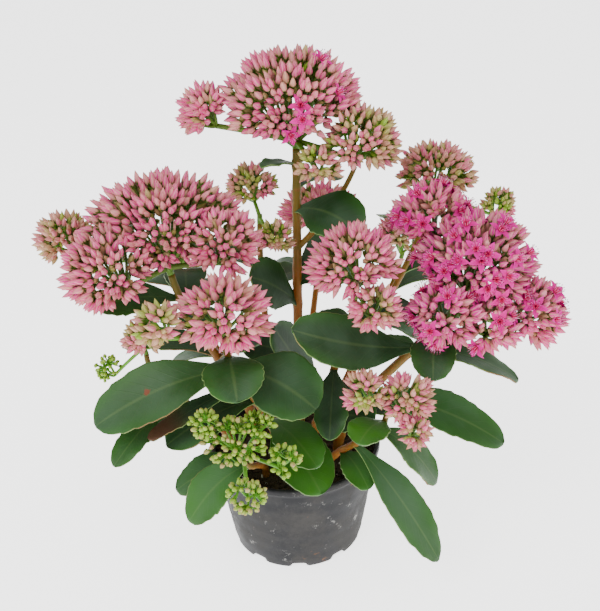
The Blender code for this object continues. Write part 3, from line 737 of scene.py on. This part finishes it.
def add_umbel(buds, stalks, flowers, name, umbel, rng, sizes):
    """One dome: branches to its knots, and at each knot a tuft of stalked buds and open flowers."""
    axes = umbel_axes(umbel)
    hub = np.array(umbel.hub, float)
    mean = sum(umbel.radii) / 3
    cap = 1 - math.cos(math.radians(umbel.spread))
    grown = 0.55 + 0.45 * min(umbel.ripe / 0.6, 1)
    scale = min(umbel.size, 1.1)
    young = umbel.ripe < YOUNG_RIPENESS
    pitch = sizes.bud_pitch / MM * scale * (0.75 + 0.25 * grown) * (YOUNG_SPREAD if young else 1)
    count = max(round(TURN * mean**2 * cap / (0.87 * pitch**2)), 8)
    local = dome_directions(count, umbel.spread, rng, 0.2 * pitch / mean)
    inner_count = int(count * INNER_SHARE * min(umbel.ripe + 0.1, 1))
    within = dome_directions(inner_count, umbel.spread, rng, 0.3 * pitch / mean)
    outer = np.repeat([True, False], (len(local), len(within)))
    local = np.concatenate([local, within])
    depth = np.where(outer, 1.0, INNER_DEPTH)

    # Each bud joins the tuft of the nearest knot, and sinks with its distance from it
    knot_count = max(count // TUFT_BUDS, 3)
    knots = dome_directions(knot_count, umbel.spread - 10, rng, 0.1)
    near = local @ knots.T
    tuft = np.argmax(near, axis=1)
    away = np.arccos(np.clip(near.max(1), -1, 1)) / math.sqrt(2 * cap / knot_count)
    keep = rng.random(len(local)) > TUFT_GAPS * np.clip(away - 0.4, 0, 1)
    swell = np.clip(1.02 - TUFT_SWELL * away**2, 0.84, 1.02) * rng.uniform(0.93, 1.0, len(local)) * depth
    tips = hub + (local * (dome_reach(umbel, local) * swell)[:, None]) @ axes.T
    keep &= ~inside_others(tips, umbel, HEADS[name])
    local, tips, tuft, outer = local[keep], tips[keep], tuft[keep], outer[keep]
    number = len(tips)
    reach = dome_reach(umbel, knots)
    knots = hub + (knots * np.maximum(reach * 0.5, reach - 24 * (0.4 + 0.6 * grown))[:, None]) @ axes.T

    # Which way each bud points, its size, and how ripe it is
    ways = unit(tips - knots[tuft]) * 0.75 + local @ axes.T * 0.45 + axes[:, 2] * 0.15
    ways = unit(ways + rng.normal(0, 0.07, ways.shape))
    length = sizes.bud_length / MM * scale * (1.5 * grown - 0.5) * rng.uniform(0.74, 1.1, number)
    wide = sizes.bud_radius / MM * scale * (0.5 + 0.5 * grown) * rng.uniform(0.82, 1.12, number)
    feet = tips - ways * length[:, None]
    opened = (rng.random(number) < umbel.open) & outer
    spins = rng.uniform(0, 6.28, number)
    vary = rng.normal(0, 0.1, len(knots))[tuft] + rng.normal(0, 0.12, number)
    ripe = np.clip(umbel.ripe + vary * min(umbel.ripe * 5, 1), 0, 1.6)
    ripe = np.where(outer, ripe, ripe * 0.4)
    chance = rng.random(number)

    # Branches from the stem to the knots, then stalks, buds, sepals and flowers
    base, fork = head_fork(name)
    stout = 1.7 * (0.5 + 0.5 * umbel.size) * SHOOTS[name].girth
    below = hub - axes[:, 2] * mean * 0.45
    add_branch(stalks, fork - (fork - base) * 0.3, (fork + below) / 2, below,
               np.linspace(stout * 1.1, stout, 6), 8, umbel.ripe)
    for side in FORKS:
        start = np.array(side.end) + (0, 0, HEAD_GAP)
        if side.shoot == name and np.linalg.norm(below - start) < FORK_RISE:
            add_branch(stalks, start, (start + below) / 2, below, (1.5, 1.5, 1.4, 1.1), 8, umbel.ripe)
    for knot in knots:
        bend = below * 0.45 + knot * 0.55 - axes[:, 2] * 3
        add_branch(stalks, below, bend, knot, np.linspace(stout * 0.75, 0.8, 6), 6, umbel.ripe)
    spans = feet - knots[tuft]
    thin = sizes.stalk_radius / MM * min(umbel.size, 1.0)
    turned = frames_along(spans, spins, thin, np.linalg.norm(spans, axis=1))
    stalks.add_copies(stalk_shape(), turned, knots[tuft], tone=ripe)
    for chosen, shape in ((outer & ~opened, bud_shape(young)), (~outer, inner_bud_shape())):
        turned = frames_along(ways[chosen], spins[chosen], wide[chosen], length[chosen])
        buds.add_copies(shape, turned, feet[chosen], chance=chance[chosen], tone=ripe[chosen])
    turned = frames_along(ways[outer], spins[outer], wide[outer] * 1.02, length[outer])
    stalks.add_copies(sepal_shape(), turned, feet[outer], tone=ripe[outer])
    if opened.any():
        petal = sizes.petal_length / MM
        middles = tips[opened] - ways[opened] * petal * 0.62
        turned = frames_along(ways[opened], spins[opened], petal, petal)
        for kind, shape in enumerate((open_petals_shape(), carpels_shape(), stamens_shape())):
            flowers.add_copies(shape, turned, middles, chance=chance[opened], tone=float(kind))


class Coat:
    """Adds the nodes of one material in short calls, and keeps the colour laid down so far as its base."""

    def __init__(self, name, roughness, specular):
        self.material = bpy.data.materials.new(name)
        self.material.use_nodes = True
        self.tree = self.material.node_tree
        self.sockets = self.tree.nodes["Principled BSDF"].inputs
        self.sockets["Roughness"].default_value = roughness
        self.sockets["Specular IOR Level"].default_value = specular

    def put(self, value, socket):
        """Sets or links one input."""
        if hasattr(value, "is_output"):
            self.tree.links.new(value, socket)
        elif hasattr(value, "__len__") and len(value) == 3 and len(socket.default_value) == 4:
            socket.default_value = (*value, 1.0)
        else:
            socket.default_value = value

    def node(self, kind):
        """A new node of a kind."""
        return self.tree.nodes.new("ShaderNode" + kind)

    def fill(self, node, values, output=0):
        """Sets or links a node's inputs by name or number, and gives one of its outputs."""
        for key, value in values.items():
            self.put(value, node.inputs[key])
        return node.outputs[output]

    def value(self, name):
        """A mesh value, by its name."""
        node = self.node("Attribute")
        node.attribute_name = name
        return node.outputs["Fac"]

    def place(self):
        """The object's own coordinates."""
        return self.node("TexCoord").outputs["Object"]

    def noise(self, scale, detail=3.0, rough=0.5):
        """Soft noise over the object, from 0 to 1."""
        values = {"Vector": self.place(), "Scale": scale, "Detail": detail, "Roughness": rough}
        return self.fill(self.node("TexNoise"), values, "Fac")

    def distance(self, spot):
        """How far each place is from a spot, in metres."""
        node = self.node("VectorMath")
        node.operation = "DISTANCE"
        return self.fill(node, {0: self.place(), 1: spot}, "Value")

    def sums(self, operation, first, second=0.0):
        """One step of arithmetic."""
        node = self.node("Math")
        node.operation = operation
        return self.fill(node, {0: first, 1: second})

    def times(self, first, second):
        """The product of two values."""
        return self.sums("MULTIPLY", first, second)

    def span(self, source, low, high, start=0.0, end=1.0):
        """A smooth step of a value between two levels."""
        node = self.node("MapRange")
        node.interpolation_type = "SMOOTHSTEP"
        return self.fill(node, {0: source, 1: low, 2: high, 3: start, 4: end})

    def mix(self, share, first, second):
        """One colour into another by a share."""
        node = self.node("Mix")
        node.data_type = "RGBA"
        return self.fill(node, {0: share, 6: first, 7: second}, 2)

    def tint(self, colour, share, amount=None):
        """Lays a colour over what is there by a share, or by the share times an amount."""
        if amount is not None:
            share = self.times(share, amount)
        self.base = self.mix(share, self.base, colour)

    def bump(self, height, depth, strength):
        """Relief from a height."""
        values = {"Strength": strength, "Distance": depth, "Height": height}
        self.put(self.fill(self.node("Bump"), values), self.sockets["Normal"])

    def rough(self, value):
        """Links the roughness."""
        self.put(value, self.sockets["Roughness"])

    def flesh(self, weight, radius=None):
        """Lets a little light through."""
        self.sockets["Subsurface Weight"].default_value = weight
        if radius:
            self.sockets["Subsurface Radius"].default_value = radius

    def painted(self):
        """The material, with its colour laid on."""
        self.put(self.base, self.sockets["Base Color"])
        return self.material


def leaf_coat(colours):
    """Dark green waxy leaf: pale margin and midrib, faint side veins, mottled bloom, a few rusty spots."""
    coat = Coat("fleshy_leaf", 0.5, 0.22)
    tone = coat.value("tone")
    under = coat.span(tone, 1.4, 1.6)
    young = coat.sums("SUBTRACT", tone, coat.times(under, 2.0))
    edge = coat.sums("ABSOLUTE", coat.value("across"))
    along = coat.value("along")
    coat.base = coat.mix(young, colours.leaf, colours.young_leaf)
    coat.tint(colours.bloom, coat.span(coat.noise(55, 4, 0.6), 0.35, 0.7), 0.2)
    bloom = coat.span(coat.noise(24, 3), 0.40, 0.66)
    coat.tint(colours.bloom, bloom, 0.45)
    # Lighter green towards each leaf's edges, more so towards its tip
    coat.tint(LEAF_EDGE_GREEN, coat.span(edge, 0.35, 1.0), coat.span(along, 0.2, 0.9, 0.15, 0.55))
    slant = coat.sums("SUBTRACT", coat.times(along, 11.0), coat.times(edge, 2.4))
    vein = coat.sums("SUBTRACT", 1.0, coat.span(coat.sums("PINGPONG", slant, 0.5), 0.0, 0.07))
    vein = coat.times(vein, coat.span(edge, 0.95, 0.6))
    coat.tint(colours.margin, vein, 0.02)
    coat.tint(colours.margin, coat.span(edge, 0.09, 0.01), 0.11)
    rim = coat.span(edge, 0.97, 0.999)
    coat.tint(colours.margin, rim, 0.6)
    coat.tint(colours.blush, coat.times(rim, coat.span(coat.noise(22, 2), 0.56, 0.66)), 0.7)
    coat.tint(colours.blush, coat.span(coat.noise(95, 1), 0.80, 0.83), 0.8)
    coat.tint(LEAF_DRY, coat.span(tone, -0.2, -0.8), coat.span(along, 0.50, 0.85))
    rust = coat.sums("ADD", coat.distance(RUST_SPOT), coat.times(coat.noise(330, 2), 0.005))
    coat.tint(LEAF_RUST, coat.span(rust, 0.0052, 0.0040))
    coat.tint(colours.bloom, under, 0.4)
    coat.rough(coat.span(bloom, 0, 1, 0.42, 0.58))
    coat.bump(coat.sums("SUBTRACT", coat.noise(260, 3), coat.times(vein, 0.35)), 0.00025, 0.5)
    coat.flesh(0.06, (0.002, 0.004, 0.001))
    return coat.painted()


def stem_coat(colours):
    """Smooth stem, orange-brown low down and olive near its head, with fine streaks."""
    coat = Coat("fleshy_stem", 0.5, 0.2)
    age = coat.span(coat.value("along"), 1.15, 0.30)
    streak = coat.span(coat.noise(70, 4, 0.7), 0.3, 0.7)
    age = coat.times(age, coat.span(streak, 0, 1, 0.65, 1.15))
    coat.base = coat.mix(age, colours.stem, colours.old_stem)
    coat.tint(colours.blush, coat.span(coat.noise(300, 2), 0.62, 0.72, 0, 0.35))
    coat.bump(coat.noise(240, 4), 0.0003, 0.4)
    coat.flesh(0.05)
    return coat.painted()


def bud_coat(colours):
    """Buds with a green foot, a pink body, cream seams and a tan tip; unripe ones are mostly green."""
    coat = Coat("bud_petal", 0.48, 0.25)
    along = coat.value("along")
    ripe = coat.value("tone")
    chance = coat.value("chance")
    coat.base = coat.mix(coat.span(ripe, 0.05, 0.8), colours.bud_green, colours.bud_pink)
    coat.tint(colours.bud_magenta, coat.span(ripe, 0.9, 1.5))
    coat.tint(colours.bud_cream, coat.span(chance, 0.4, 1, 0.0, 0.35), coat.span(ripe, 0.0, 0.3))
    creamy = coat.span(ripe, 0.0, 0.7, 0.15, 1.0)
    seam = coat.span(coat.value("across"), 0.45, 0.95)
    coat.tint(colours.bud_cream, coat.times(coat.span(along, 0.50, 0.10), creamy), 0.6)
    coat.tint(colours.bud_cream, coat.times(seam, creamy), 0.6)
    coat.tint(colours.bud_base, coat.span(along, 0.26, 0.04))
    tip = coat.times(coat.span(along, 0.72, 1.0), coat.span(chance, 0.1, 0.9, 0.25, 0.8))
    coat.tint(BUD_TIP, tip, coat.span(ripe, 0.0, 0.1, 0.1, 1.0))
    coat.bump(coat.noise(420, 2), 0.0001, 0.3)
    coat.flesh(0.04, (0.003, 0.001, 0.001))
    return coat.painted()


def stalk_coat(colours):
    """Green to olive stalks and sepals."""
    coat = Coat("flower_stalk", 0.5, 0.25)
    coat.base = coat.mix(coat.value("tone"), YOUNG_STALK, colours.bud_base)
    coat.tint(colours.stem, coat.span(coat.noise(120, 3), 0.35, 0.7, 0.0, 0.5))
    coat.bump(coat.noise(300, 2), 0.0001, 0.3)
    return coat.painted()


def flower_coat(colours):
    """Open flowers: magenta petals paler to the tip, deep carpels, dark anthers."""
    coat = Coat("open_flower", 0.6, 0.12)
    kind = coat.value("tone")
    across = coat.value("across")
    coat.base = colours.open_petal
    coat.tint(PETAL_TIP, coat.span(coat.value("along"), 0.45, 1.0, 0.0, 0.30))
    coat.tint(PETAL_DEEP, coat.span(coat.value("chance"), 0.3, 1.0, 0.0, 0.3))
    coat.tint(PETAL_EDGE, across, 0.12)
    coat.tint(colours.carpel, coat.span(kind, 0.4, 0.6))
    thread = coat.mix(coat.span(across, 0.4, 0.6), STAMEN, ANTHER)
    coat.tint(thread, coat.span(kind, 1.4, 1.6))
    coat.bump(coat.noise(500, 2), 0.0001, 0.25)
    coat.flesh(0.1, (0.003, 0.001, 0.002))
    return coat.painted()


def pot_coat(colours):
    """Dusty black plastic: grey smears, fine pits, pale scuffs and specks of dried soil."""
    coat = Coat("dusty_black_plastic", 0.5, 0.15)
    smear = coat.span(coat.noise(34, 7, 0.75), 0.38, 0.64)
    grain = coat.noise(420, 4, 0.7)
    coat.base = colours.pot
    coat.tint(colours.dust, smear, 0.75)
    coat.tint(POT_PIT, coat.span(grain, 0.60, 0.72, 0, 0.55))
    coat.tint(POT_SCUFF, coat.span(coat.noise(90, 5, 0.8), 0.60, 0.68), 0.5)
    coat.tint(POT_DIRT, coat.span(coat.noise(60, 4, 0.7), 0.66, 0.74), 0.7)
    coat.rough(coat.span(smear, 0, 1, 0.45, 0.75))
    coat.bump(coat.sums("ADD", coat.noise(60, 3), coat.times(grain, 0.3)), 0.0006, 0.35)
    return coat.painted()


def soil_coat(colours):
    """Dark damp crumb with pale grit where a crumb is marked as grit."""
    coat = Coat("potting_soil", 0.92, 0.25)
    coat.base = coat.mix(coat.span(coat.noise(320, 5, 0.7), 0.35, 0.7), colours.soil, SOIL_DRY)
    coat.tint(colours.grit, coat.span(coat.value("tone"), 0.4, 0.6))
    coat.bump(coat.noise(600, 5, 0.8), 0.0012, 0.8)
    return coat.painted()


def pot_radius(height):
    """The outer radius of the pot's tapering wall."""
    return POT_FOOT_RADIUS + (POT_RIM_RADIUS - RIM_ROLL - POT_FOOT_RADIUS) * height / POT_HEIGHT


def pot_profile():
    """The pot's section as (radius, height), from under its floor, up outside, over the rim and down."""
    rim, foot, top = POT_RIM_RADIUS, POT_FOOT_RADIUS, POT_HEIGHT
    under = top - RIM_DEPTH
    return [
        *((radius, 0.0) for radius in (0.01, 20, 36, 40, 42, 44)),
        (foot - 1, 0.05), (foot - 0.3, 0.4), (foot, 1.2),
        *((pot_radius(height), height) for height in np.linspace(4, under - 1.0, 26)),
        (rim - 1.3, under - 0.3), (rim - 0.35, under + 0.25), (rim, under + 0.9), (rim, under + 2.8),
        (rim - 0.1, top - 1.2), (rim - 0.4, top - 0.45), (rim - 1.0, top - 0.05), (rim - 1.9, top - 0.1),
        (pot_radius(top) - POT_WALL + 0.2, top - 0.6),
        *((pot_radius(height) - POT_WALL, height) for height in np.linspace(under, 5, 12)),
        (foot - POT_WALL - 1, POT_FLOOR + 1.6), (42, POT_FLOOR + 0.6), (30, POT_FLOOR), (0.01, POT_FLOOR),
    ]


def add_pot(build):
    """The pot, turned finely, with arched drain notches round its foot and a faintly uneven wall."""
    turn = turns(POT_SEGMENTS)
    cell = (turn / TURN * DRAIN_NOTCHES) % 1 - 0.5
    offset = cell * TURN * POT_FOOT_RADIUS / DRAIN_NOTCHES
    arch = np.sqrt(np.clip(1 - (offset / (NOTCH_WIDTH / 2)) ** 4, 0, 1))
    rings = []
    profile = pot_profile()
    crown = int(np.argmax([height for _, height in profile]))
    for index, (radius, height) in enumerate(profile):
        raised, uneven = height, 0.0
        if index <= crown and height < NOTCH_HEIGHT:
            near = np.clip((radius - (POT_FOOT_RADIUS - NOTCH_REACH)) / 1.5, 0, 1)
            raised = np.maximum(height, arch * NOTCH_HEIGHT * near)
        if index <= crown and 3 < height < POT_HEIGHT - RIM_DEPTH:
            uneven = 0.22 * np.sin(3 * turn + height * 0.05) + 0.14 * np.sin(7 * turn - height * 0.11)
            uneven = uneven + 0.10 * np.sin(height * 0.55 + 2 * turn)
        rings.append(circle(radius + uneven, turn, raised))
    build.add(np.concatenate(rings), ring_triangles(len(profile), POT_SEGMENTS))


def lump_shape(rng):
    """A rough crumb: a small ball knocked out of round."""
    rings = [circle(width * rng.uniform(0.7, 1.2, 7), turns(7), height * 0.8)
             for height, width in ((-0.9, 0.35), (-0.4, 0.9), (0.3, 1.0), (0.85, 0.45))]
    return np.concatenate(rings), ring_triangles(4, 7), 0.0, 0.0


def add_soil(build, sizes):
    """A crumbly crowned surface, loose crumbs and pale grit."""
    rng = np.random.default_rng(SOIL_SEED)
    turn = turns(SOIL_SIDES)
    rings = [circle(SOIL_RADIUS - 6, turn, 40.0)]
    for radius in np.linspace(SOIL_RADIUS, 0.5, 44):
        crown = SOIL_CROWN * (1 - (radius / SOIL_RADIUS) ** 2)
        rough = rng.normal(0, 0.45, SOIL_SIDES) * min(radius / 6, 1)
        rings.append(circle(radius, turn, SOIL_TOP - SOIL_SINK + crown + rough))
    build.add(np.concatenate(rings), ring_triangles(len(rings), SOIL_SIDES))
    for grit, count in ((0.0, CRUMBS), (1.0, GRITS)):
        shapes = [lump_shape(rng) for _ in range(4)]
        radius = (SOIL_RADIUS - 1.5) * np.sqrt(rng.random(count))
        around = rng.uniform(0, 6.283, count)
        height = SOIL_TOP - 0.9 + SOIL_CROWN * (1 - (radius / SOIL_RADIUS) ** 2)
        places = circle(radius, around, height)
        size = sizes.crumb_size / MM * rng.uniform(0.45, 1.15, count) * (0.75 if grit else 1.0)
        frames = frames_along(rng.normal(0, 1, (count, 3)), around, size, size * 0.8)
        for kind, shape in enumerate(shapes):
            build.add_copies(shape, frames[kind::4], places[kind::4], tone=grit)


class STONECROP_OT_pot(bpy.types.Operator):
    """Builds the black nursery pot"""

    bl_idname = "stonecrop.pot"
    bl_label = "Make Pot"

    def execute(self, context):
        build = Build()
        add_pot(build)
        place(build, "nursery_pot", pot_coat(context.scene.stonecrop_colours), "pot")
        return {"FINISHED"}


class STONECROP_OT_soil(bpy.types.Operator):
    """Builds the soil, its crumbs and grit"""

    bl_idname = "stonecrop.soil"
    bl_label = "Make Soil"

    def execute(self, context):
        build = Build()
        add_soil(build, context.scene.stonecrop_sizes)
        place(build, "soil_crumb", soil_coat(context.scene.stonecrop_colours), "soil")
        return {"FINISHED"}


class STONECROP_OT_shoots(bpy.types.Operator):
    """Builds every stem and its leaves"""

    bl_idname = "stonecrop.shoots"
    bl_label = "Make Leafy Shoots"

    def execute(self, context):
        sizes = context.scene.stonecrop_sizes
        bark = stem_coat(context.scene.stonecrop_colours)
        green = leaf_coat(context.scene.stonecrop_colours)
        for name in SHOOTS:
            stem = Build()
            add_stem(stem, name)
            place(stem, "stem_" + name, bark, "shoot_" + name)
            blades = Build()
            for index, leaf in enumerate(LEAVES[name]):
                add_leaf(blades, name, leaf, (hash_chance(name) + index * 0.37) % 1, sizes)
            place(blades, "leaves_" + name, green, "shoot_" + name)
        return {"FINISHED"}


class STONECROP_OT_heads(bpy.types.Operator):
    """Builds every flower head: branches, stalks, buds and open flowers"""

    bl_idname = "stonecrop.heads"
    bl_label = "Make Flower Heads"

    def execute(self, context):
        sizes = context.scene.stonecrop_sizes
        colours = context.scene.stonecrop_colours
        petals = bud_coat(colours)
        stalk = stalk_coat(colours)
        flower = flower_coat(colours)
        for number, (name, umbels) in enumerate(HEADS.items()):
            rng = np.random.default_rng(HEAD_SEED + number)
            buds, stalks, flowers = Build(), Build(), Build()
            base, fork = head_fork(name)
            girth = STEM_TOP_RADIUS * SHOOTS[name].girth
            add_branch(stalks, base, (base + fork) / 2, fork, np.linspace(girth, girth * 0.9, 4), 12, 0.8)
            for umbel in umbels:
                add_umbel(buds, stalks, flowers, name, umbel, rng, sizes)
            place(buds, "buds_" + name, petals, "head_" + name)
            place(stalks, "branches_" + name, stalk, "head_" + name)
            if flowers.count:
                place(flowers, "flowers_" + name, flower, "head_" + name)
        return {"FINISHED"}


class STONECROP_OT_stage(bpy.types.Operator):
    """Sets the pale floor, the soft lights and the camera"""

    bl_idname = "stonecrop.stage"
    bl_label = "Set Stage"

    def execute(self, context):
        scene = context.scene
        build = Build()
        corners = [(-1, -1, 0), (1, -1, 0), (1, 1, 0), (-1, 1, 0)]
        build.add(np.array(corners) * FLOOR_HALF, [(0, 1, 2), (0, 2, 3)])
        floor = add_object("pale_floor", build.mesh("pale_floor"))
        paper = Coat("pale_paper", 0.9, 0.2)
        paper.base = FLOOR_COLOUR
        paper.sockets["Emission Color"].default_value = WHITE
        paper.sockets["Emission Strength"].default_value = FLOOR_GLOW
        floor.data.materials.append(paper.painted())
        floor.location.z = -FLOOR_DROP
        scene.world = bpy.data.worlds.new("soft_studio")
        scene.world.use_nodes = True
        sky = scene.world.node_tree.nodes["Background"]
        sky.inputs["Color"].default_value = WHITE
        sky.inputs["Strength"].default_value = SKY_LIGHT
        for name, (spot, power, size) in LAMPS.items():
            lamp = bpy.data.lights.new(name, "AREA")
            lamp.energy = power
            lamp.size = size
            light = add_object(name, lamp)
            light.location = spot
            light.rotation_euler = (LAMP_AIM - Vector(spot)).to_track_quat("-Z", "Y").to_euler()
        lens = bpy.data.cameras.new("photo_view")
        lens.sensor_width = SENSOR
        lens.lens = CAMERA_FOCAL / IMAGE_HEIGHT * SENSOR
        camera = add_object("photo_view", lens)
        camera.location = CAMERA_PLACE
        look = Matrix.Rotation(math.radians(90 - CAMERA_PITCH), 3, "X")
        roll = Matrix.Rotation(math.radians(CAMERA_ROLL), 3, "Z")
        camera.rotation_euler = (look @ roll).to_euler()
        scene.camera = camera
        return {"FINISHED"}


class STONECROP_PT_panel(bpy.types.Panel):
    """Lists the steps that build the plant"""

    bl_idname = "STONECROP_PT_panel"
    bl_label = "Potted Stonecrop"
    bl_space_type = "VIEW_3D"
    bl_region_type = "UI"
    bl_category = "Stonecrop"

    def draw(self, context):
        for step in STEPS:
            self.layout.operator(step.bl_idname)
        for group in (context.scene.stonecrop_sizes, context.scene.stonecrop_colours):
            box = self.layout.box()
            for name in group.__annotations__:
                box.prop(group, name)


STEPS = (STONECROP_OT_pot, STONECROP_OT_soil, STONECROP_OT_shoots, STONECROP_OT_heads, STONECROP_OT_stage)
CLASSES = (PlantSizes, PlantColours, *STEPS, STONECROP_PT_panel)


def register():
    """Adds the classes and the scene's settings."""
    for kind in CLASSES:
        bpy.utils.register_class(kind)
    bpy.types.Scene.stonecrop_sizes = PointerProperty(type=PlantSizes)
    bpy.types.Scene.stonecrop_colours = PointerProperty(type=PlantColours)


def unregister():
    """Takes them away again."""
    del bpy.types.Scene.stonecrop_colours
    del bpy.types.Scene.stonecrop_sizes
    for kind in reversed(CLASSES):
        bpy.utils.unregister_class(kind)


def main():
    """Builds every piece in order."""
    register()
    bpy.ops.stonecrop.pot()
    bpy.ops.stonecrop.soil()
    bpy.ops.stonecrop.shoots()
    bpy.ops.stonecrop.heads()
    bpy.ops.stonecrop.stage()


if __name__ == "__main__":
    main()
